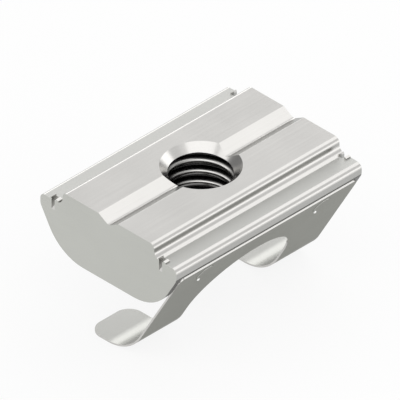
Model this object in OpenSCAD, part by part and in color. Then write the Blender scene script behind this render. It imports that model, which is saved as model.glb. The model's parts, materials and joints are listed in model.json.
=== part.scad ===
// Spring-loaded nut for a T-slot: a profiled steel bar with a tapped hole, held up in the slot by a leaf spring.
// X runs along the slot, the leaf spring lies on the -Y side and +Z is the way the bolt leaves.
// The origin is on the thread's axis, level with the two shoulders that pull up against the slot's lips.

/* [Nut body] */
// Length along the slot
body_length = 20; // [16:0.5:40]
// Full height, from the land's top to the underside
body_height = 6; // [5.5:0.1:8]
// Full width across the two noses
body_width = 14.7; // [13.5:0.1:17]
// Width of the land that stands between the slot's lips
land_width = 9.9; // [8.6:0.1:10.6]
// Height of the land above the shoulders
land_height = 1.2; // [1.1:0.05:1.6]
// Height of the upright nose below each shoulder
nose_height = 1; // [0.8:0.05:1.4]
// Lean of the lower flanks, in degrees from upright
flank_lean = 30; // [24:1:34]
// Radius along the land's two top edges
land_edge_r = 0.47; // [0.2:0.01:0.55]
// Radius in the corner between the land and a shoulder
land_foot_r = 0.62; // [0.2:0.01:0.7]
// Radius along a shoulder's outer edge
shoulder_edge_r = 0.5; // [0.2:0.05:0.7]
// Radius where a nose turns into its flank
nose_r = 0.8; // [0.2:0.1:1.2]
// Radius between a flank and the underside
underside_r = 4.2; // [2:0.1:4.6]

/* [Sighting groove] */
// Width of the groove along the land, at the top
groove_width = 2.16; // [1.2:0.02:2.6]
// Slope of the groove's sides, in degrees from level
groove_slope = 30; // [20:1:34]
// Radius along the groove's bottom
groove_r = 0.5; // [0.2:0.05:0.8]

/* [Thread] */
// Thread's nominal diameter
thread_d = 6; // [5:0.5:7]
// Thread's pitch, which sets the tapping bore
thread_pitch = 1; // [0.7:0.05:1.25]
// Diameter of the countersink at each end of the hole
countersink_d = 6.4; // [6.2:0.05:7.6]
// Full angle of the countersink, in degrees
countersink_angle = 90; // [80:5:120]

/* [Contact teeth] */
// Distance across the pair of teeth at one end
tooth_span = 11.6; // [11.2:0.05:12.4]
// Width of the notch that the chisel leaves
notch_width = 0.33; // [0.2:0.01:0.4]
// How far the notch reaches in from the end, at the shoulder
notch_length = 0.55; // [0.3:0.05:0.8]
// Depth at which the notch runs out on the bar's end, below the shoulder
notch_depth = 0.9; // [0.5:0.05:1]
// Width of the raised tooth
tooth_width = 0.3; // [0.2:0.01:0.4]
// Length of the raised tooth
tooth_length = 0.6; // [0.4:0.05:1]
// Height of the raised tooth beside the notch
tooth_height = 0.24; // [0.15:0.01:0.3]
// Height of the tooth's other edge, to which its top slopes down
tooth_edge = 0.13; // [0.05:0.01:0.14]
// Width of the low burr on the notch's other side
burr_width = 0.16; // [0.1:0.01:0.2]
// Height of the burr above the shoulder
burr_height = 0.15; // [0.08:0.01:0.2]

/* [Leaf spring] */
// Thickness of the spring sheet
sheet_t = 0.15; // [0.1:0.01:0.3]
// Length of the spring along the slot
spring_length = 19.25; // [17:0.05:19.8]
// Height of the sheet's top edge above the nose's lower corner, along the flank
sheet_rise = 0; // [-0.1:0.05:0.2]
// Depth of the feet's soles below the shoulders
foot_drop = 10.72; // [10:0.01:12]
// How far the toes reach past the thread's axis
toe_reach = 2.6; // [1.5:0.1:4]
// Depth of the knee, where the leg starts to turn in, below the shoulders
knee_drop = 9.3; // [8:0.01:9.6]
// Slope of the leg below the knee, in degrees from level
ankle_slope = 45; // [40:1:50]
// Outside radius of the bend between leg and foot
bend_r = 1.75; // [1:0.05:2.2]
// Width of the arch between the two legs
arch_width = 10.3; // [8:0.05:11.5]
// Depth of the arch's crown below the sheet's top edge
arch_crown = 2.6; // [2.3:0.05:3.2]
// Radius of the arch's two shoulders
arch_r = 5.1; // [2:0.1:5.1]
// Radius of the toes' corners
toe_r = 1.3; // [0.4:0.1:1.6]
// Radius of the sheet's upper corners
sheet_corner_r = 0.6; // [0.3:0.1:1]

/* [Stakes] */
// Distance between the two stakes that hold the spring
stake_span = 12.6; // [11.5:0.1:14]
// Depth of the stakes below the sheet's top edge
stake_drop = 1.45; // [1.3:0.05:1.6]
// Diameter of a stake's neck
neck_d = 1.2; // [0.8:0.05:1.3]
// Diameter of a stake's peened head
head_d = 1.7; // [1.55:0.05:1.9]
// Height of the peened head
head_height = 0.08; // [0.06:0.01:0.2]
// Radius round the head's rim
head_edge_r = 0.05; // [0.02:0.01:0.07]
// Clearance around a neck in the sheet's hole
neck_clearance = 0.05; // [0.02:0.01:0.1]

/* [Hidden] */
$fn = 96;
// Overlap that lets a cut run past the face it opens
over = 0.05;
// A rounding circle is this much larger than its named radius, so that it crosses the sides it blends
crossing = 1.002;
land_z = land_height;
underside_z = land_height - body_height;
nose_y = body_width / 2;
nose_z = -nose_height;
flank_run = tan(flank_lean);
underside_y = nose_y - (nose_z - underside_z) * flank_run;
bore_r = (thread_d - thread_pitch) / 2;
countersink_r = countersink_d / 2;
countersink_depth = (countersink_r - bore_r) / tan(countersink_angle / 2);
neck_root = 0.6;
sole_z = -foot_drop;
insole_z = sole_z + sheet_t;
leg_slope = 90 - flank_lean;
ankle_length = (foot_drop - knee_drop) / sin(ankle_slope);
// The knee's radius takes up what the bend at the foot leaves of the ankle
knee_r = 0.98 * (ankle_length - bend_r * tan(ankle_slope / 2)) / tan((leg_slope - ankle_slope) / 2);
steel = [0.74, 0.74, 0.72];
spring_steel = [0.6, 0.6, 0.57];

// Direction from one point to another, at unit length
function toward(from, to) = (to - from) / norm(to - from);

// A point on the flank's plane, lifted off it, as [y, z]
function off_flank(along, lift) = [
    -nose_y - along * sin(flank_lean) - lift * cos(flank_lean),
    nose_z + along * cos(flank_lean) - lift * sin(flank_lean)
];

// Direction into the sheet, square to its outer side at a slope in degrees from level, as [y, z]
function inward(slope) = [sin(slope), cos(slope)];

// The sheet's inner corner behind an outer one, between the slopes above and below it
function inner_corner(outer, above, below) =
    outer + sheet_t * (inward(above) + inward(below)) / (1 + inward(above) * inward(below));

// What lies between a corner and the circle that touches both of its sides
module corner_zone(before, corner, after, r) {
    u = toward(corner, before);
    v = toward(corner, after);
    half_angle = acos(u * v) / 2;
    centre = corner + (u + v) / norm(u + v) * r / sin(half_angle);
    reach = r / tan(half_angle);
    touch_u = corner + u * reach - centre;
    touch_v = corner + v * reach - centre;
    tip = corner - centre;
    kite = cross(touch_u, tip) > 0 ? [[0, 0], touch_u, tip, touch_v] : [[0, 0], touch_v, tip, touch_u];
    translate(centre)
        difference() {
            polygon(kite * (1 + over / r));
            circle(r * crossing);
        }
}

// A closed outline, listed anticlockwise, with each corner rounded to its own radius where that is not 0
module rounded_outline(points, radii) {
    count = len(points);
    before = [for (i = [0:count - 1]) points[(i + count - 1) % count]];
    after = [for (i = [0:count - 1]) points[(i + 1) % count]];
    turn = [for (i = [0:count - 1]) cross(points[i] - before[i], after[i] - points[i])];
    difference() {
        union() {
            polygon(points);
            for (i = [0:count - 1])
                if (radii[i] > 0 && turn[i] < 0)
                    corner_zone(before[i], points[i], after[i], radii[i]);
        }
        for (i = [0:count - 1])
            if (radii[i] > 0 && turn[i] > 0)
                corner_zone(before[i], points[i], after[i], radii[i]);
    }
}

// A section in Y and Z, drawn out along X
module along_slot(length) {
    rotate([90, 0, 90])
        linear_extrude(length, center = true)
            children();
}

// The near flank as a working plane: x along the slot, y up the flank, z out of it
module on_flank() {
    translate([0, -nose_y, nose_z])
        rotate([90 + flank_lean, 0, 0])
            children();
}

// The bar's right-hand corners, from the underside up to the land, and the radius at each
bar_right = [
    [underside_y, underside_z],
    [nose_y, nose_z],
    [nose_y, 0],
    [land_width / 2, 0],
    [land_width / 2, land_z]
];
bar_right_r = [underside_r, nose_r, shoulder_edge_r, land_foot_r, land_edge_r];

module bar_section() {
    last = len(bar_right) - 1;
    bar_left = [for (i = [last:-1:0]) [-bar_right[i][0], bar_right[i][1]]];
    bar_left_r = [for (i = [last:-1:0]) bar_right_r[i]];
    difference() {
        rounded_outline(concat(bar_right, bar_left), concat(bar_right_r, bar_left_r));
        groove_section();
    }
}

module groove_section() {
    rim = groove_width / 2;
    bottom_z = land_z - rim * tan(groove_slope);
    top_z = land_z + over;
    rounded_outline(
        [[0, bottom_z], [rim, land_z], [rim, top_z], [-rim, top_z], [-rim, land_z]],
        [groove_r, 0, 0, 0, 0]
    );
}

// The tapped hole's bore with a countersink at both ends
module tapped_hole() {
    translate([0, 0, underside_z - over])
        cylinder(h = body_height + 2 * over, r = bore_r);
    for (end = [[land_z, 180], [underside_z, 0]])
        translate([0, 0, end[0]])
            rotate([end[1], 0, 0])
                cylinder(h = countersink_depth, r1 = countersink_r, r2 = bore_r);
}

// Places a notch or a tooth at each end of both shoulders, with the line between them at the origin
module at_each_tooth() {
    for (side = [-1, 1], end = [0, 1])
        translate([0, side * tooth_span / 2, 0])
            mirror([end, 0, 0])
                translate([-body_length / 2, 0, 0])
                    children();
}

// The chisel's wedge-shaped cut, deepest at the shoulder and running out down the bar's end
module notch() {
    run_out = notch_depth / notch_length;
    top_z = land_foot_r;
    translate([0, notch_width, 0])
        rotate([90, 0, 0])
            linear_extrude(notch_width)
                polygon([
                    [-over, -notch_depth - over * run_out],
                    [notch_length, 0],
                    [notch_length, top_z],
                    [-over, top_z]
                ]);
}

// Metal that the chisel pushed up, as a section in Y and Z that runs in from the bar's end
module pushed_up(length) {
    translate([length / 2, 0, 0])
        along_slot(length)
            children();
}

// The tooth beside the notch and the burr on the notch's other side
module tooth() {
    burr_crest = burr_width / 2;
    burr_flank = (burr_width - burr_crest) / 2;
    pushed_up(tooth_length)
        polygon([[0, -over], [0, tooth_height], [-tooth_width, tooth_edge], [-tooth_width, -over]]);
    translate([0, notch_width, 0])
        pushed_up(notch_length)
            polygon([
                [0, -over],
                [burr_width, -over],
                [burr_width, 0],
                [burr_width - burr_flank, burr_height],
                [burr_flank, burr_height],
                [0, 0]
            ]);
}

module at_each_stake() {
    on_flank()
        for (end = [-1, 1])
            translate([end * stake_span / 2, sheet_rise - stake_drop, 0])
                children();
}

// A stake raised from the bar and peened flat over the sheet
module stake() {
    rim = head_d / 2;
    translate([0, 0, -neck_root])
        cylinder(h = neck_root + sheet_t + head_height / 2, d = neck_d);
    translate([0, 0, sheet_t])
        rotate_extrude()
            rounded_outline([[0, 0], [rim, 0], [rim, head_height], [0, head_height]], [0, 0, head_edge_r, 0]);
}

// The bar with its tapped hole, its contact teeth and the two stakes
module nut_body() {
    color(steel) {
        difference() {
            along_slot(body_length)
                bar_section();
            tapped_hole();
            at_each_tooth()
                notch();
        }
        at_each_tooth()
            tooth();
        at_each_stake()
            stake();
    }
}

// The bent sheet's section: down the flank, in at the knee, round the bend and along the feet
module sheet_section() {
    outer_top = off_flank(sheet_rise, sheet_t);
    inner_top = off_flank(sheet_rise, 0);
    knee_y = outer_top[0] + (outer_top[1] + knee_drop) / tan(leg_slope);
    knee = [knee_y, -knee_drop];
    heel = [knee_y + (foot_drop - knee_drop) / tan(ankle_slope), sole_z];
    toe_sole = [toe_reach, sole_z];
    toe_top = [toe_reach, insole_z];
    inner_heel = inner_corner(heel, ankle_slope, 0);
    inner_knee = inner_corner(knee, leg_slope, ankle_slope);
    rounded_outline(
        [outer_top, knee, heel, toe_sole, toe_top, inner_heel, inner_knee, inner_top],
        [0, knee_r, bend_r, 0, 0, bend_r - sheet_t, knee_r - sheet_t, 0]
    );
}

// The arch between the legs, cut square through the sheet and on past the toes
module arch_cut() {
    crown = sheet_rise - arch_crown;
    below = -2 * foot_drop;
    side = arch_width / 2;
    on_flank()
        translate([0, 0, -foot_drop])
            linear_extrude(2 * foot_drop)
                rounded_outline(
                    [[side, below], [side, crown], [-side, crown], [-side, below]],
                    [0, arch_r, arch_r, 0]
                );
}

// What is cut off the corners of the two toes
module toe_corners() {
    inner = arch_width / 2;
    outer = spring_length / 2;
    translate([0, 0, sole_z - over])
        linear_extrude(sheet_t + 2 * over)
            for (side = [-1, 1]) {
                corner_zone([side * inner, 0], [side * inner, toe_reach], [side * outer, toe_reach], toe_r);
                corner_zone([side * inner, toe_reach], [side * outer, toe_reach], [side * outer, 0], toe_r);
            }
}

// What is cut off the sheet's two upper corners
module upper_corners() {
    outer = spring_length / 2;
    on_flank()
        translate([0, 0, -over])
            linear_extrude(sheet_t + 2 * over)
                for (x = [-outer, outer])
                    corner_zone([0, sheet_rise], [x, sheet_rise], [x, -foot_drop], sheet_corner_r);
}

// One stamped and bent sheet: a plate staked to the near flank and two sprung feet
module leaf_spring() {
    color(spring_steel)
        difference() {
            along_slot(spring_length)
                sheet_section();
            arch_cut();
            toe_corners();
            upper_corners();
            at_each_stake()
                translate([0, 0, -over])
                    cylinder(h = sheet_t + 2 * over, d = neck_d + 2 * neck_clearance);
        }
}

nut_body();
leaf_spring();
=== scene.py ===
import json
import math

import bmesh
import bpy
from mathutils import Matrix, Vector


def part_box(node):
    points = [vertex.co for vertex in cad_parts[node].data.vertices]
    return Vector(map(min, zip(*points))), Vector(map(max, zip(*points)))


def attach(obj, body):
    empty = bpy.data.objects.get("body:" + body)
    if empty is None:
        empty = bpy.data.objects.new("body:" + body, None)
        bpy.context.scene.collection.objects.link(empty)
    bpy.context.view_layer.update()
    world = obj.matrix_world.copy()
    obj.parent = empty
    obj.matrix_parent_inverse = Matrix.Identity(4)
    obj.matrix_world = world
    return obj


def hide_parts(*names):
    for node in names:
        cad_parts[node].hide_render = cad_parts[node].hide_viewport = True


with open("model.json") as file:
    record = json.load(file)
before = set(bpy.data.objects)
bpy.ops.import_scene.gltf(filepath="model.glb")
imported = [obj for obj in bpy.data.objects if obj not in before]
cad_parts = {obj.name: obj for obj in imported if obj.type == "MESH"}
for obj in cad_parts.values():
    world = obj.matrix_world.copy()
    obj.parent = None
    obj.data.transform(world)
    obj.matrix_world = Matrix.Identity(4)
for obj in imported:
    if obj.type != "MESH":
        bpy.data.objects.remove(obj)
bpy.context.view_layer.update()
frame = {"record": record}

# The part's sizes are in millimetres, in its own frame, and a finished mesh is brought to metres.
TO_METRES = 0.001
# Points closer than this are one point
SLIVER = 0.0005
# Corners sharper than this stay sharp when a mesh is shaded smooth
SHARP_FROM = math.radians(25)
# How strongly the larger faces set the shading normals: 50 is neutral and 100 the most
FLAT_FACE_WEIGHT = 100

BODY_LOW, BODY_HIGH = (v / TO_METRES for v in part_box("nut_body"))
SPRING_LOW, SPRING_HIGH = (v / TO_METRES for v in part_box("leaf_spring"))
THREAD_MOUNT = next(m for m in frame["record"]["mounts"] if m["name"] == "thread")

# The bar's section
BODY_LENGTH = BODY_HIGH.x - BODY_LOW.x
NOSE_Y = BODY_HIGH.y
LAND_Z = BODY_HIGH.z
BODY_HEIGHT = 6.0
UNDERSIDE_Z = LAND_Z - BODY_HEIGHT
LAND_WIDTH = 9.9
NOSE_HEIGHT = 1.0
FLANK_LEAN = math.radians(30)
LAND_EDGE_R = 0.47
LAND_FOOT_R = 0.62
SHOULDER_EDGE_R = 0.5
NOSE_R = 0.8
UNDERSIDE_R = 4.2
GROOVE_WIDTH = 2.16
GROOVE_SLOPE = math.radians(30)
GROOVE_R = 0.5
GROOVE_RIM_R = 0.08
SECTION_STEP = math.radians(7.5)
# How far the sawn ends' edges are broken
END_BREAK = 0.006

# The tapped hole
BORE_R = THREAD_MOUNT["dims"]["r_mm"]
THREAD_PITCH = 1.0
THREAD_DEPTH = 0.5
THREAD_CREST = 0.25
THREAD_HALF_ANGLE = math.radians(30)
# Height of a crest's middle above the shoulders, straight along +X
THREAD_START = -0.39
# Depth below each face at which the thread starts
THREAD_LEAD = 0.62
# Radius on a crest's upper corner, which the thread's painted shade spares, and in the roots
CREST_TOP_R = 0.22
ROOT_R = 0.1
THREAD_STEP = math.radians(10)
COUNTERSINK_R = 6.4 / 2
# The pilot hole is drilled this much under the thread's bore
PILOT_ALLOWANCE = 0.05
PILOT_R = BORE_R - PILOT_ALLOWANCE
# Columns around the hole
HOLE_SIDES = 144

# The contact teeth
TOOTH_SPAN = 11.6
NOTCH_WIDTH = 0.33
NOTCH_LENGTH = 0.55
NOTCH_DEPTH = 0.9
TOOTH_GAP = 0.14
TOOTH_WIDTH = 0.22
TOOTH_LENGTH = 0.48
TOOTH_HEIGHT = 0.17
TOOTH_EDGE = 0.1
NOTCH_BURR_WIDTH = 0.16
NOTCH_BURR_HEIGHT = 0.15
# Height at which the raised metal starts, inside the bar
TOOTH_ROOT = -0.1

# The leaf spring
SHEET_T = 0.15
SPRING_LENGTH = SPRING_HIGH.x - SPRING_LOW.x
TOE_REACH = SPRING_HIGH.y
SOLE_Z = SPRING_LOW.z
LEG_SLOPE = math.radians(90) - FLANK_LEAN
BEND_R = 4.2
BEND_STEP = math.radians(2.5)
ARCH_WIDTH = 10.3
ARCH_CROWN = 2.6
ARCH_R = 5.1
TOE_R = 1.3
SHEET_CORNER_R = 0.6
BLANK_STEP = math.radians(3)
# How far the sheet's top edge lies below the nose's lower corner, down the flank
SHEET_TRIM = 0.16
# Points this near to a line across the blank lie on it
ON_LINE = 1e-5

# The stakes that hold the spring
STAKE_SPAN = 12.6
STAKE_DROP = 1.45
NECK_D = 1.2
NECK_CLEARANCE = 0.05
HOLE_D = NECK_D + 2 * NECK_CLEARANCE
HOLE_IN_SHEET_SIDES = 48
HEAD_D = 1.7
HEAD_HEIGHT = 0.035
HEAD_EDGE_R = 0.03
HEAD_STEP = math.radians(15)
STAKE_SIDES = 64
# Height at which a stake starts, inside the bar
STAKE_ROOT = -0.4
# The burr that the punch leaves on a head's rim, and its place from the middle of the head's underside
PEENED_BURR_R = 0.14
PEENED_BURR_AT = Vector((-0.56, -0.5, 0.004))
PEENED_BURR_SIDES = 24
# The burr's rings, in degrees of latitude; the lowest lies within the sheet
PEENED_BURR_LATITUDES = range(-15, 90, 15)

# The finishes' colours, the scale of their lines by axis, and their tints at a glancing angle
STEEL = (0.61, 0.6, 0.582, 1)
# Painted shade: the sawn ends take a darker copy of the steel; their lines across the slot are their own
SAWN_SHADE_STEEL = (0.533, 0.538, 0.506, 1)
# Painted shade: a darker copy of the steel for the upright sides and the groove's near wall
SIDE_SHADE_STEEL = (0.45, 0.45, 0.435, 1)
# Painted shade: a darker copy of the steel for the shoulders beside the lands
SHOULDER_SHADE_STEEL = (0.54, 0.54, 0.52, 1)
# Painted shade: near black for the seam above the sheet and the flank beside it
FLANK_SHADE_STEEL = (0.16, 0.16, 0.155, 1)
# Painted highlight: a near white for the peening burr's glint
GLINT_STEEL = (0.93, 0.93, 0.91, 1)
SPRING_STEEL = (0.52, 0.52, 0.5, 1)
ALONG_SLOT = (60, 9000, 9000)
ACROSS_SLOT = (9000, 60, 9000)
BAR_TINT = (0.8, 0.8, 0.8, 1)
SHEET_TINT = (0.436, 0.44, 0.42, 1)
# Bending dulls the sheet's inner side by this much, from one height above the sole to the next
BEND_HAZE = 0.42
HAZE_FROM = 0.3
HAZE_FULL = 0.6
# Each finish: its colour, its roughness, its lines, its tint and, where it has one, its haze
FINISHES = {
    "drawn_steel": (STEEL, 0.2, ALONG_SLOT, BAR_TINT),
    "sawn_shaded_ends": (SAWN_SHADE_STEEL, 0.24, ACROSS_SLOT, BAR_TINT),
    "shaded_sides": (SIDE_SHADE_STEEL, 0.25, ALONG_SLOT, BAR_TINT),
    "shaded_shoulders": (SHOULDER_SHADE_STEEL, 0.42, ALONG_SLOT, BAR_TINT),
    "shaded_flank_seam": (FLANK_SHADE_STEEL, 0.3, ALONG_SLOT, BAR_TINT),
    "glinting_burr": (GLINT_STEEL, 0.15, ALONG_SLOT, BAR_TINT),
    "rolled_spring_steel": (SPRING_STEEL, 0.18, ALONG_SLOT, SHEET_TINT),
    "sheet_inside": (SPRING_STEEL, 0.24, ALONG_SLOT, SHEET_TINT, BEND_HAZE),
    # Painted highlight: the sheet's sheared edges take the bar's brighter steel
    "sheared_edge_highlight": (STEEL, 0.2, ALONG_SLOT, BAR_TINT),
}
# The finishes on each piece, in the order of its material slots
BODY_FINISHES = (
    "drawn_steel",
    "rolled_spring_steel",
    "sawn_shaded_ends",
    "shaded_sides",
    "shaded_shoulders",
    "shaded_flank_seam",
    "glinting_burr",
)
SPRING_FINISHES = ("rolled_spring_steel", "sheared_edge_highlight", "sheet_inside")

# Noise in the finishes: its scale and detail, the part of its range that is used, and what it changes
LINE_SCALE = 1.0
CLOUD_SCALE = 260.0
NOISE_DETAIL = 3.0
NOISE_LOW = 0.6
NOISE_HIGH = 1.4
TONE_VARIATION = 0.04
GLOSS_VARIATION = 0.04
LINE_BUMP = 0.02
LINE_DEPTH = 0.02

# Painted shade darkens the thread's flanks and roots from this far behind the crests, in full by the second
# value, to this tone
THREAD_SHADE_FROM = 0.1
THREAD_SHADE_FULL = 0.2
THREAD_SHADE_TONE = 0.09
# How far past the thread's roots the painted shade reaches
THREAD_SHADE_MARGIN = 0.05
# Share of that painted shade on the crests' flats, and how far up a face looks where that shade starts to
# lift and is gone
CREST_FLAT_SHADE = 0.75
CREST_SHADE_LIFTS_FROM = 0.15
CREST_SHADE_GONE_AT = 0.4
# The side of the hole where the crests get more painted shade, and its share there
THREAD_SHADE_SIDE = Vector((-1, 1, 0)).normalized()
THREAD_SHADE_SIDE_SHARE = 0.9

# Where one finish gives way to another: distances in millimetres, and parts of a face's unit normal
ZONE_EDGE = 0.01
FLAT = 0.99
NEARLY_FLAT = 0.97
GROOVE_WALL = 0.45
SEAM_LOWEST = -0.49
SEAM_HIGHEST = -0.16

# The studio's sizes are in metres.
WHITE = (1, 1, 1, 1)
FLOOR_HALF = 0.6
FLOOR_COLOUR = (0.85, 0.85, 0.85, 1)
# How much of the floor is plain white, where it is seen and where metal shows it; the rest shows its shadow
FLOOR_WHITENESS = 0.85
MIRRORED_WHITENESS = 0.75
# The sky darkens to this shade at the zenith, between two heights on the unit sphere
ZENITH_FROM = 0.92
ZENITH_FULL = 0.97
ZENITH_SHADE = 0.35
# Each soft round flag in the sky: its middle's direction, the angles of its rim and core, and its shade
FLAGS = {
    "behind": ((-0.2, 0.93, 0.28), 30, 16, 0.25),
    "front_right": ((0.54, -0.6, 0.59), 20, 6, 0.83),
    "right": ((0.95, 0.3, 0.1), 22, 8, 0.3),
}
# Each lamp: its direction from the part, its distance, its width and height, and its radiance
LAMPS = {
    "overhead": ((0.577, 0.0, 0.816), 0.16, 0.14, 0.13, 0.45),
    "front_top": ((-0.408, -0.408, 0.817), 0.16, 0.19, 0.1, 0.55),
    "right_low": ((0.89, -0.29, 0.345), 0.16, 0.07, 0.07, 0.8),
    "front_right_low": ((0.577, -0.8, 0.05), 0.06, 0.05, 0.02, 0.6),
    "back_right": ((0.577, 0.777, 0.25), 0.16, 0.14, 0.066, 1.0),
    "back_left": ((-0.67, 0.5, 0.55), 0.16, 0.08, 0.08, 0.45),
}
# The camera looks along the diagonal of the three axes, without perspective
PHOTO_WIDTH = 0.03053
AIM = Vector((-0.00114, -0.00103, -0.00098))
BACK = Vector((-1, -1, 1)).normalized()
CAMERA_DISTANCE = 0.3
NEAREST_SEEN = 0.001
FURTHEST_SEEN = 5


def rounded(corners, step):
    """A closed outline from (point, radius) corners, each turned into an arc where its radius is not 0."""
    points = [Vector(point) for point, radius in corners]
    radii = [radius for point, radius in corners]
    outline = []
    for i, (corner, radius) in enumerate(zip(points, radii)):
        if radius == 0:
            outline.append(corner)
            continue
        u = (points[i - 1] - corner).normalized()
        v = (points[(i + 1) % len(points)] - corner).normalized()
        half = u.angle(v) / 2
        centre = corner + (u + v).normalized() * (radius / math.sin(half))
        start = corner + u * (radius / math.tan(half)) - centre
        turn = math.copysign(math.pi - 2 * half, v.x * u.y - v.y * u.x)
        steps = max(2, math.ceil(abs(turn) / step))
        for k in range(steps + 1):
            outline.append(centre + Matrix.Rotation(turn * k / steps, 2) @ start)
    return outline


def bar_outline():
    """The bar's section as (y, z), anticlockwise from the underside."""
    underside_y = NOSE_Y - (-NOSE_HEIGHT - UNDERSIDE_Z) * math.tan(FLANK_LEAN)
    right = [
        ((underside_y, UNDERSIDE_Z), UNDERSIDE_R),
        ((NOSE_Y, -NOSE_HEIGHT), NOSE_R),
        ((NOSE_Y, 0), SHOULDER_EDGE_R),
        ((LAND_WIDTH / 2, 0), LAND_FOOT_R),
        ((LAND_WIDTH / 2, LAND_Z), LAND_EDGE_R),
        ((GROOVE_WIDTH / 2, LAND_Z), GROOVE_RIM_R),
    ]
    bottom = ((0, LAND_Z - GROOVE_WIDTH / 2 * math.tan(GROOVE_SLOPE)), GROOVE_R)
    left = [((-y, z), r) for (y, z), r in reversed(right)]
    return rounded(right + [bottom] + left, SECTION_STEP)


def inset(outline, distance):
    """The outline moved inward by a small distance."""
    moved = []
    for i, p in enumerate(outline):
        along = (outline[(i + 1) % len(outline)] - outline[i - 1]).normalized()
        moved.append(p + Vector((-along.y, along.x)) * distance)
    return moved


def add_object(name, data):
    """A new object in the scene that holds a mesh, a lamp or a camera."""
    thing = bpy.data.objects.new(name, data)
    bpy.context.scene.collection.objects.link(thing)
    return thing


def new_object(name, bm):
    """A new object in the scene from a finished bmesh."""
    mesh = bpy.data.meshes.new(name)
    bm.to_mesh(mesh)
    bm.free()
    return add_object(name, mesh)


def bar():
    """The bar cut to length, with its end edges lightly broken."""
    outline = bar_outline()
    broken = inset(outline, END_BREAK)
    end = BODY_LENGTH / 2
    bm = bmesh.new()
    rings = []
    for x, ring in ((-end, broken), (END_BREAK - end, outline), (end - END_BREAK, outline), (end, broken)):
        rings.append([bm.verts.new((x, p.x, p.y)) for p in ring])
    count = len(outline)
    for a, b in zip(rings, rings[1:]):
        for i in range(count):
            j = (i + 1) % count
            bm.faces.new((a[i], b[i], b[j], a[j]))
    bm.faces.new(rings[0])
    bm.faces.new(reversed(rings[-1]))
    bmesh.ops.recalc_face_normals(bm, faces=bm.faces)
    return new_object("bar", bm)


def turned(bm, profile, around, place=Matrix()):
    """A closed turned solid from its (radius, height) points, listed from the bottom up."""
    rings = []
    for radius, height in profile:
        spin = (Matrix.Rotation(2 * math.pi * (i + 0.5) / around, 3, "Z") for i in range(around))
        rings.append([bm.verts.new(place @ (turn @ Vector((radius, 0, height)))) for turn in spin])
    for a, b in zip(rings, rings[1:]):
        for i in range(around):
            j = (i + 1) % around
            bm.faces.new((a[i], a[j], b[j], b[i]))
    bm.faces.new(reversed(rings[0]))
    bm.faces.new(rings[-1])


def drill():
    """What the pilot drill and the two countersinks remove."""
    over = 0.2
    mouth = COUNTERSINK_R + over
    depth = COUNTERSINK_R - PILOT_R
    bm = bmesh.new()
    profile = [
        (mouth, UNDERSIDE_Z - over),
        (PILOT_R, UNDERSIDE_Z + depth),
        (PILOT_R, LAND_Z - depth),
        (mouth, LAND_Z + over),
    ]
    turned(bm, profile, HOLE_SIDES)
    return new_object("drill", bm)


def thread_profile():
    """One pitch of the tapped wall, up from a crest's lower corner, as (height from its middle, radius)."""
    crest = THREAD_CREST / 2
    flank = THREAD_DEPTH * math.tan(THREAD_HALF_ANGLE)
    root = BORE_R + THREAD_DEPTH
    corners = [
        ((-crest, BORE_R), 0),
        ((crest, BORE_R), CREST_TOP_R),
        ((crest + flank, root), ROOT_R),
        ((THREAD_PITCH - crest - flank, root), ROOT_R),
        ((THREAD_PITCH - crest, BORE_R), 0),
    ]
    return rounded(corners, THREAD_STEP)[:-1]


def thread_length():
    """The stretch of the hole that is threaded, wider than the thread."""
    clear_of_thread = BORE_R + 2 * THREAD_DEPTH
    ends = (UNDERSIDE_Z + THREAD_LEAD, LAND_Z - THREAD_LEAD)
    bm = bmesh.new()
    turned(bm, [(clear_of_thread, z) for z in ends], HOLE_SIDES)
    return new_object("thread_length", bm)


def tap():
    """What the tap removes: a screw whose rows follow the helix, cut square at both ends of the thread."""
    profile = thread_profile()
    per_turn = len(profile)
    first = math.floor((UNDERSIDE_Z - THREAD_START) / THREAD_PITCH) - 1
    last = math.ceil((LAND_Z - THREAD_START) / THREAD_PITCH)
    rows = []
    for turn in range(first, last + 1):
        rows += [(THREAD_START + turn * THREAD_PITCH + p.x, p.y) for p in profile]
    bm = bmesh.new()
    grid = []
    for c in range(HOLE_SIDES):
        part = c / HOLE_SIDES
        across = Vector((math.cos(2 * math.pi * part), math.sin(2 * math.pi * part), 0))
        rise = Vector((0, 0, THREAD_PITCH * part))
        grid.append([bm.verts.new(across * radius + rise + Vector((0, 0, z))) for z, radius in rows])
    for c, here in enumerate(grid):
        # Past the last column the rows join those one turn higher
        beyond = grid[c + 1] if c + 1 < HOLE_SIDES else grid[0][per_turn:]
        for k in range(len(beyond) - 1):
            bm.faces.new((here[k], beyond[k], beyond[k + 1], here[k + 1]))
    bottom = [column[0] for column in grid] + grid[0][per_turn:0:-1]
    top = [column[-1] for column in grid] + grid[-1][-2:-per_turn - 2:-1]
    for loop in (bottom, top):
        middle = bm.verts.new((0, 0, sum(v.co.z for v in loop) / len(loop)))
        for i, v in enumerate(loop):
            bm.faces.new((v, loop[i - 1], middle))
    bmesh.ops.recalc_face_normals(bm, faces=bm.faces)
    bmesh.ops.triangulate(bm, faces=bm.faces)
    screw = new_object("tap", bm)
    combine(screw, thread_length(), "INTERSECT")
    return screw


def prism(bm, lower, upper, place):
    """A closed block from its lower and upper outlines."""
    a = [bm.verts.new(place @ Vector(p)) for p in lower]
    b = [bm.verts.new(place @ Vector(p)) for p in upper]
    count = len(a)
    faces = [bm.faces.new((a[i], a[(i + 1) % count], b[(i + 1) % count], b[i])) for i in range(count)]
    faces += [bm.faces.new(reversed(a)), bm.faces.new(b)]
    bmesh.ops.recalc_face_normals(bm, faces=faces)


def tooth_places():
    """A frame at each tooth: x runs in from the bar's end, y across the bar and z up from the shoulder."""
    for side in (-1, 1):
        for end in (-1, 1):
            corner = Matrix.Translation((end * BODY_LENGTH / 2, side * TOOTH_SPAN / 2, 0))
            yield corner @ Matrix.Diagonal((-end, 1, 1, 1))


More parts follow.
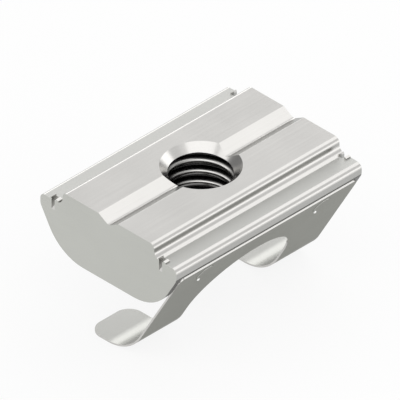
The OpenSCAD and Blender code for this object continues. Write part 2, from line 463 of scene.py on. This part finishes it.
def notch_cutter():
    """The chisel's wedge-shaped cuts, deepest at the bar's ends and running out along the shoulders."""
    bm = bmesh.new()
    over = 0.1
    foot = -NOTCH_DEPTH * (1 + over / NOTCH_LENGTH)
    wedge = [(-over, foot), (NOTCH_LENGTH, 0), (NOTCH_LENGTH, LAND_FOOT_R), (-over, LAND_FOOT_R)]
    for place in tooth_places():
        prism(bm, [(x, 0, z) for x, z in wedge], [(x, NOTCH_WIDTH, z) for x, z in wedge], place)
    return new_object("notch_cutter", bm)


def pushed_up(bm, place, length, section):
    """Metal that the chisel pushed up, as a section in (y, z) that runs in from the bar's end."""
    near, far = ([(x, y, z) for y, z in section] for x in (END_BREAK, length))
    prism(bm, near, far, place)


def tooth(bm, place):
    """The tooth beside a notch and the burr on the notch's other side."""
    inner = -TOOTH_GAP
    outer = inner - TOOTH_WIDTH
    wedge = [(inner, TOOTH_ROOT), (inner, TOOTH_HEIGHT), (outer, TOOTH_EDGE), (outer, TOOTH_ROOT)]
    pushed_up(bm, place, TOOTH_LENGTH, wedge)
    inner = NOTCH_WIDTH
    outer = NOTCH_WIDTH + NOTCH_BURR_WIDTH
    flank = NOTCH_BURR_WIDTH / 4
    burr = [
        (inner, TOOTH_ROOT),
        (outer, TOOTH_ROOT),
        (outer, 0),
        (outer - flank, NOTCH_BURR_HEIGHT),
        (inner + flank, NOTCH_BURR_HEIGHT),
        (inner, 0),
    ]
    pushed_up(bm, place, NOTCH_LENGTH, burr)


def on_flank():
    """The near flank as a working plane: x along the slot, y up the flank, z out of it."""
    return Matrix.Translation((0, -NOSE_Y, -NOSE_HEIGHT)) @ Matrix.Rotation(math.pi / 2 + FLANK_LEAN, 4, "X")


def stake(bm, place):
    """A stake raised from the flank and peened flat over the sheet."""
    rim = HEAD_D / 2
    face = SHEET_T + HEAD_HEIGHT
    head = [((rim, SHEET_T), 0), ((rim, face), HEAD_EDGE_R), ((0, face), 0)]
    profile = [(NECK_D / 2, STAKE_ROOT), (NECK_D / 2, SHEET_T)]
    profile += rounded(head, HEAD_STEP)[:-1]
    turned(bm, profile, STAKE_SIDES, place)


def peening_burrs():
    """A small round burr on the rim of each stake's head."""
    bm = bmesh.new()
    angles = [math.radians(latitude) for latitude in PEENED_BURR_LATITUDES]
    ball = [(PEENED_BURR_R * math.cos(angle), PEENED_BURR_R * math.sin(angle)) for angle in angles]
    for end in (-1, 1):
        at = Vector((end * STAKE_SPAN / 2, -STAKE_DROP, SHEET_T)) + PEENED_BURR_AT
        turned(bm, ball, PEENED_BURR_SIDES, on_flank() @ Matrix.Translation(at))
    return new_object("peening_burrs", bm)


def raised_details():
    """The four contact teeth with their burrs, and the two peened stakes."""
    bm = bmesh.new()
    for place in tooth_places():
        tooth(bm, place)
    for end in (-1, 1):
        stake(bm, on_flank() @ Matrix.Translation((end * STAKE_SPAN / 2, -STAKE_DROP, 0)))
    return new_object("raised_details", bm)


def combine(target, tool, operation):
    """Joins a tool's solid to the target's, cuts it away or keeps what they share, and removes the tool."""
    step = target.modifiers.new(operation.lower(), "BOOLEAN")
    step.operation = operation
    step.solver = "EXACT"
    step.object = tool
    graph = bpy.context.evaluated_depsgraph_get()
    result = bpy.data.meshes.new_from_object(target.evaluated_get(graph))
    target.modifiers.clear()
    target.data = result
    bpy.data.objects.remove(tool)


def merge_slivers(piece):
    """Merges the slivers that the cuts leave behind."""
    bm = bmesh.new()
    bm.from_mesh(piece.data)
    bmesh.ops.remove_doubles(bm, verts=bm.verts, dist=SLIVER)
    bmesh.ops.dissolve_degenerate(bm, edges=bm.edges, dist=SLIVER)
    bm.to_mesh(piece.data)
    bm.free()


def smooth_to_metres(piece):
    """The mesh brought to metres, shaded smooth with its real corners sharp and its flat faces flat."""
    piece.data.transform(Matrix.Scale(TO_METRES, 4))
    piece.data.shade_smooth()
    piece.data.set_sharp_from_angle(angle=SHARP_FROM)
    weighted = piece.modifiers.new("flat faces stay flat", "WEIGHTED_NORMAL")
    weighted.keep_sharp = True
    weighted.weight = FLAT_FACE_WEIGHT


def make_nut_body():
    """The bar, drilled and tapped, with its notches cut and its teeth and stakes raised."""
    piece = bar()
    hole = drill()
    combine(hole, tap(), "UNION")
    combine(piece, hole, "DIFFERENCE")
    combine(piece, notch_cutter(), "DIFFERENCE")
    combine(piece, raised_details(), "UNION")
    combine(piece, peening_burrs(), "UNION")
    merge_slivers(piece)
    piece.name = "threaded_body"
    smooth_to_metres(piece)
    return piece


def sheet_path():
    """The sheet's outer side as (y, z), from the nose's lower corner round the bend to the toe."""
    top = Vector((-NOSE_Y - SHEET_T * math.cos(FLANK_LEAN), -NOSE_HEIGHT - SHEET_T * math.sin(FLANK_LEAN)))
    heel = Vector((top.x + (top.y - SOLE_Z) / math.tan(LEG_SLOPE), SOLE_Z))
    toe = Vector((TOE_REACH, SOLE_Z))
    return rounded([(top, 0), (heel, BEND_R), (toe, 0)], BEND_STEP)


def place_on_sheet(line):
    """A function from (x, length down the sheet, depth into it) to a point of the bent sheet."""
    lengths = [0.0]
    for a, b in zip(line, line[1:]):
        lengths.append(lengths[-1] + (b - a).length)
    directions = [(b - a).normalized() for a, b in zip(line, line[1:])]
    corners = [(a + b).normalized() for a, b in zip(directions, directions[1:])]
    corners = [directions[0]] + corners + [directions[-1]]

    def place(x, s, depth):
        k = next((i for i in range(len(line) - 2) if s < lengths[i + 1]), len(line) - 2)
        t = (s - lengths[k]) / (lengths[k + 1] - lengths[k])
        p = line[k].lerp(line[k + 1], t)
        along = corners[k].lerp(corners[k + 1], min(max(t, 0), 1)).normalized()
        return Vector((x, p.x - along.y * depth, p.y + along.x * depth))

    return place, lengths


def blank_loops(total):
    """The flat blank's outline and its two holes, with x along the slot and y down the sheet."""
    side = SPRING_LENGTH / 2
    leg = ARCH_WIDTH / 2
    corners = [
        ((side, SHEET_TRIM), SHEET_CORNER_R),
        ((side, total), TOE_R),
        ((leg, total), TOE_R),
        ((leg, ARCH_CROWN), ARCH_R),
        ((-leg, ARCH_CROWN), ARCH_R),
        ((-leg, total), TOE_R),
        ((-side, total), TOE_R),
        ((-side, SHEET_TRIM), SHEET_CORNER_R),
    ]
    loops = [rounded(corners, BLANK_STEP)]
    around = HOLE_IN_SHEET_SIDES
    for end in (-1, 1):
        centre = Vector((end * STAKE_SPAN / 2, STAKE_DROP))
        spin = (Matrix.Rotation(2 * math.pi * k / around, 2) for k in range(around))
        loops.append([centre + turn @ Vector((HOLE_D / 2, 0)) for turn in spin])
    return loops


def make_leaf_spring():
    """The stamped blank, laid flat, divided into strips where it will bend, thickened and then bent."""
    place, lengths = place_on_sheet(sheet_path())
    bm = bmesh.new()
    edges = []
    for loop in blank_loops(lengths[-1]):
        verts = [bm.verts.new((p.x, p.y, 0)) for p in loop]
        edges += [bm.edges.new((verts[i], verts[(i + 1) % len(verts)])) for i in range(len(verts))]
    bmesh.ops.triangle_fill(bm, edges=edges, use_beauty=True, use_dissolve=False)
    for s in lengths[1:-1]:
        blank = bm.verts[:] + bm.edges[:] + bm.faces[:]
        bmesh.ops.bisect_plane(bm, geom=blank, plane_co=(0, s, 0), plane_no=(0, 1, 0), dist=ON_LINE)
    grown = bmesh.ops.extrude_face_region(bm, geom=bm.faces[:])
    for v in grown["geom"]:
        if isinstance(v, bmesh.types.BMVert):
            v.co.z = SHEET_T
    # The outer side takes the first finish, the sheared edges the second, brighter as a painted highlight,
    # the inner side the third
    for face in bm.faces:
        face.material_index = round(2 * face.calc_center_median().z / SHEET_T)
    for v in bm.verts:
        v.co = place(v.co.x, v.co.y, v.co.z)
    bmesh.ops.recalc_face_normals(bm, faces=bm.faces)
    piece = new_object("bent_spring", bm)
    smooth_to_metres(piece)
    return piece


class Nodes:
    """Shorthand for building a node tree."""

    def __init__(self, tree):
        self.tree = tree
        self.tree.nodes.clear()

    def add(self, kind, values=None, **settings):
        """A new node, with its settings, and with a value or a link on each socket that is named."""
        node = self.tree.nodes.new(kind)
        for name, value in settings.items():
            setattr(node, name, value)
        for socket, value in (values or {}).items():
            if isinstance(value, bpy.types.NodeSocket):
                self.tree.links.new(value, node.inputs[socket])
            else:
                node.inputs[socket].default_value = value
        return node

    def calc(self, operation, a, b):
        """The result of one operation on two values."""
        return self.add("ShaderNodeMath", {0: a, 1: b}, operation=operation).outputs[0]

    def ramp(self, value, start, end, low=0.0, high=1.0, **settings):
        """A value that runs from low to high while another runs from start to end."""
        limits = {"From Min": start, "From Max": end, "To Min": low, "To Max": high}
        return self.add("ShaderNodeMapRange", {"Value": value} | limits, **settings).outputs[0]

    def noise(self, spot, scale):
        """Noise at a scale, with the detail that all finishes share."""
        values = {"Vector": spot, "Scale": scale, "Detail": NOISE_DETAIL}
        return self.add("ShaderNodeTexNoise", values).outputs["Fac"]

    def upward(self, vector):
        """A vector's part along +Z."""
        return self.add("ShaderNodeSeparateXYZ", {"Vector": vector}).outputs["Z"]

    def dot(self, vector, direction):
        """A vector's part along a direction."""
        values = {0: vector, 1: direction}
        return self.add("ShaderNodeVectorMath", values, operation="DOT_PRODUCT").outputs["Value"]


def drawn_steel(name, colour, roughness, streak, edge_tint, bend_haze=0.0):
    """Bright steel with fine lines, faint clouding and painted shade in the thread."""
    material = bpy.data.materials.new(name)
    material.use_nodes = True
    n = Nodes(material.node_tree)
    spot = n.add("ShaderNodeTexCoord").outputs["Object"]
    stretched = n.add("ShaderNodeMapping", {"Vector": spot, "Scale": streak}).outputs["Vector"]
    lines = n.noise(stretched, LINE_SCALE)
    both = n.calc("ADD", lines, n.noise(spot, CLOUD_SCALE))
    tone = n.ramp(both, NOISE_LOW, NOISE_HIGH, 1 - TONE_VARIATION, 1 + TONE_VARIATION)
    tone = n.calc("MULTIPLY", tone, tapped_shade(n, spot))
    # A Mix node's colours are its sockets 6 and 7, and its mixed colour is its output 2
    mix = n.add("ShaderNodeMix", {"Factor": 1.0, 6: colour, 7: tone}, data_type="RGBA", blend_type="MULTIPLY")
    gloss = n.ramp(both, NOISE_LOW, NOISE_HIGH, roughness - GLOSS_VARIATION, roughness + GLOSS_VARIATION)
    if bend_haze:
        start, full = ((SOLE_Z + rise) * TO_METRES for rise in (HAZE_FROM, HAZE_FULL))
        gloss = n.calc("ADD", gloss, n.ramp(n.upward(spot), start, full, 0.0, bend_haze))
    depth = LINE_DEPTH * TO_METRES
    bump = n.add("ShaderNodeBump", {"Height": lines, "Strength": LINE_BUMP, "Distance": depth})
    surface = {
        "Base Color": mix.outputs[2],
        "Metallic": 1.0,
        "Roughness": gloss,
        "Specular Tint": edge_tint,
        "Normal": bump.outputs["Normal"],
    }
    shader = n.add("ShaderNodeBsdfPrincipled", surface)
    n.add("ShaderNodeOutputMaterial", {"Surface": shader.outputs[0]})
    return material


def tapped_shade(n, spot):
    """1 on clean metal, falling to painted shade on the thread's flanks, roots and crest flats, more on one
    side.
    """
    across = n.add("ShaderNodeVectorMath", {0: spot, 1: (1, 1, 0)}, operation="MULTIPLY").outputs[0]
    radius = n.add("ShaderNodeVectorMath", {0: across}, operation="LENGTH").outputs["Value"]
    height = n.upward(spot)
    crest = (BORE_R + THREAD_SHADE_FROM) * TO_METRES
    full = (BORE_R + THREAD_SHADE_FULL) * TO_METRES
    rim = (BORE_R + THREAD_DEPTH + THREAD_SHADE_MARGIN) * TO_METRES
    top = (LAND_Z - THREAD_LEAD) * TO_METRES
    bottom = (UNDERSIDE_Z + THREAD_LEAD) * TO_METRES
    # Painted shade deep in the thread, on the crests' flats and towards one side of the hole
    shade_share = n.ramp(radius, crest, full)
    facing = n.add("ShaderNodeNewGeometry").outputs["Normal"]
    flat_shade = n.ramp(n.upward(facing), CREST_SHADE_LIFTS_FROM, CREST_SHADE_GONE_AT, CREST_FLAT_SHADE, 0.0)
    side_shade = n.ramp(n.dot(spot, THREAD_SHADE_SIDE), 0.0, BORE_R * TO_METRES, 0.0, THREAD_SHADE_SIDE_SHARE)
    for share in (flat_shade, side_shade):
        shade_share = n.calc("MAXIMUM", shade_share, share)
    inside = n.calc("LESS_THAN", radius, rim)
    under = n.calc("LESS_THAN", height, top)
    over = n.calc("GREATER_THAN", height, bottom)
    for limit in (inside, under, over):
        shade_share = n.calc("MULTIPLY", shade_share, limit)
    return n.ramp(shade_share, 0.0, 1.0, 1.0, THREAD_SHADE_TONE)


def dress(piece, node, materials):
    """Gives a piece its finishes and sets it in the place of its node."""
    for material in materials:
        piece.data.materials.append(material)
    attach(piece, "root")
    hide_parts(node)


def zone_slots(piece):
    """Sets the material slot of each of the body's faces by its place, in the order of BODY_FINISHES."""
    outward = on_flank().to_3x3().col[2]
    flank = outward.dot(Vector((0, -NOSE_Y, -NOSE_HEIGHT)))
    head_top = SHEET_T + HEAD_HEIGHT + ZONE_EDGE
    for face in piece.data.polygons:
        centre = face.center / TO_METRES
        tilt = face.normal.z
        sideways = abs(face.normal.y)
        raised = outward.dot(centre) - flank
        upright = sideways > FLAT or (sideways > NEARLY_FLAT and tilt < 0)
        on_head = SHEET_T / 2 < raised < head_top
        # The burr takes a painted highlight
        on_burr = raised > head_top
        # The sawn ends take painted shade
        on_end = abs(centre.x) > BODY_LENGTH / 2 - ZONE_EDGE
        # The upright sides and the groove's near wall take painted shade
        on_side = abs(centre.y) > LAND_WIDTH / 2 - ZONE_EDGE and upright
        in_groove = abs(centre.y) < GROOVE_WIDTH / 2 and face.normal.y > GROOVE_WALL
        # The shoulders take painted shade
        on_shoulder = abs(centre.z) < ZONE_EDGE and tilt > FLAT
        # The near flank beside the sheet and the seam above its top edge take painted shade
        on_near_flank = abs(raised) < ZONE_EDGE and outward.dot(face.normal) > FLAT
        by_the_sheet = centre.y < -LAND_WIDTH / 2 and centre.z > -NOSE_HEIGHT - NOSE_R
        seam_shade = by_the_sheet and SEAM_LOWEST < tilt < SEAM_HIGHEST
        places = (True, on_head, on_end, on_side or in_groove, on_shoulder, on_near_flank or seam_shade, on_burr)
        face.material_index = max(slot for slot, here in enumerate(places) if here)


def floor_material():
    """A pale floor that is nearly white where the camera or the metal sees it, and keeps a shadow."""
    material = bpy.data.materials.new("floor")
    material.use_nodes = True
    n = Nodes(material.node_tree)
    lit = n.add("ShaderNodeBsdfDiffuse", {"Color": FLOOR_COLOUR}).outputs[0]
    white = n.add("ShaderNodeEmission", {"Color": WHITE, "Strength": 1.0}).outputs[0]
    path = n.add("ShaderNodeLightPath").outputs
    mirrored = n.calc("MAXIMUM", path["Is Glossy Ray"], path["Is Transmission Ray"])
    mirrored = n.calc("MULTIPLY", mirrored, MIRRORED_WHITENESS)
    seen = n.calc("MULTIPLY", path["Is Camera Ray"], FLOOR_WHITENESS)
    share = n.calc("MAXIMUM", seen, mirrored)
    surface = n.add("ShaderNodeMixShader", {0: share, 1: lit, 2: white}).outputs[0]
    n.add("ShaderNodeOutputMaterial", {"Surface": surface})
    return material


def make_floor():
    """The floor under the spring's feet."""
    mesh = bpy.data.meshes.new("floor")
    signs = ((-1, -1), (1, -1), (1, 1), (-1, 1))
    corners = [(x * FLOOR_HALF, y * FLOOR_HALF, SOLE_Z * TO_METRES) for x, y in signs]
    mesh.from_pydata(corners, [], [(0, 1, 2, 3)])
    floor = add_object("floor", mesh)
    mesh.materials.append(floor_material())


def flag(n, outward, middle, rim, core, shade):
    """A soft round flag in the sky: its middle's direction, the angles of its rim and core, and its shade."""
    near = n.dot(outward, Vector(middle).normalized())
    start, full = (math.cos(math.radians(angle)) for angle in (rim, core))
    return n.ramp(near, start, full, 1.0, shade, interpolation_type="SMOOTHSTEP")


def make_sky():
    """A white sky with a darker zenith and a few soft flags."""
    world = bpy.data.worlds.new("studio")
    world.use_nodes = True
    n = Nodes(world.node_tree)
    outward = n.add("ShaderNodeTexCoord").outputs["Generated"]
    height = n.upward(outward)
    strength = n.ramp(height, ZENITH_FROM, ZENITH_FULL, 1.0, ZENITH_SHADE, interpolation_type="SMOOTHSTEP")
    for placed in FLAGS.values():
        strength = n.calc("MULTIPLY", strength, flag(n, outward, *placed))
    sky = n.add("ShaderNodeBackground", {"Color": WHITE, "Strength": strength})
    n.add("ShaderNodeOutputWorld", {"Surface": sky.outputs[0]})
    bpy.context.scene.world = world


def softbox(name, direction, distance, width, height, radiance):
    """A rectangular lamp that faces the part; width runs level and height upward."""
    data = bpy.data.lights.new(name, "AREA")
    data.shape = "RECTANGLE"
    data.size = width
    data.size_y = height
    data.energy = radiance * math.pi * width * height
    lamp = add_object(name, data)
    lamp.location = Vector(direction).normalized() * distance
    lamp.rotation_euler = (-lamp.location).to_track_quat("-Z", "Y").to_euler()
    lamp.visible_camera = False


def make_camera():
    """The camera at the photograph's viewing angle."""
    data = bpy.data.cameras.new("camera")
    data.type = "ORTHO"
    data.ortho_scale = PHOTO_WIDTH
    data.clip_start = NEAREST_SEEN
    data.clip_end = FURTHEST_SEEN
    camera = add_object("camera", data)
    camera.location = AIM + BACK * CAMERA_DISTANCE
    camera.rotation_euler = (-BACK).to_track_quat("-Z", "Y").to_euler()
    bpy.context.scene.camera = camera


finishes = {name: drawn_steel(name, *values) for name, values in FINISHES.items()}
nut = make_nut_body()
dress(nut, "nut_body", [finishes[name] for name in BODY_FINISHES])
zone_slots(nut)
dress(make_leaf_spring(), "leaf_spring", [finishes[name] for name in SPRING_FINISHES])

make_floor()
make_sky()
for lamp_name, lamp_values in LAMPS.items():
    softbox(lamp_name, *lamp_values)
make_camera()
bpy.context.scene.view_settings.view_transform = "Standard"
